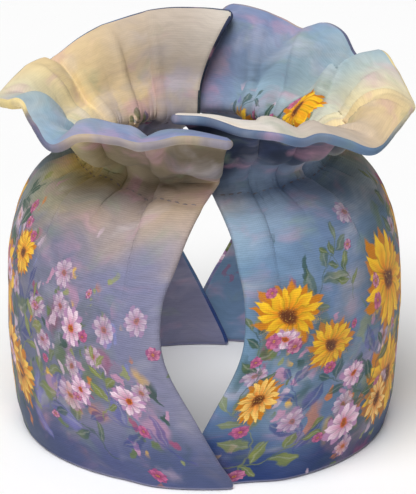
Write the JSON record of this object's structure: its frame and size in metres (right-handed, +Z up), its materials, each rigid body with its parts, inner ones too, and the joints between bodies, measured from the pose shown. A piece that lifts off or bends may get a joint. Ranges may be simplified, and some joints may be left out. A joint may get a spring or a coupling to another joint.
{
  "type": "tea cosy",
  "caption": "Padded wrap-over tea cosy with a rounded body, a gathered neck, a flared ruffle collar, and leaf-shaped openings at the front and back.",
  "frame": {"origin": "under the middle of the cosy's bounding box, on the plane that the hem stands on", "axes": "+Z up; the front, where the left panel laps over the right one, faces -Y; +X is to the right seen from the front"},
  "size_m": [0.1796, 0.175, 0.1697],
  "materials": {
    "left_panel_cloth": "matt printed woven cloth over padding",
    "right_panel_cloth": "matt printed woven cloth over padding"
  },
  "bodies": {
    "root": {"panel_left": "left_panel_cloth", "panel_right": "right_panel_cloth"}
  },
  "joints": []
}
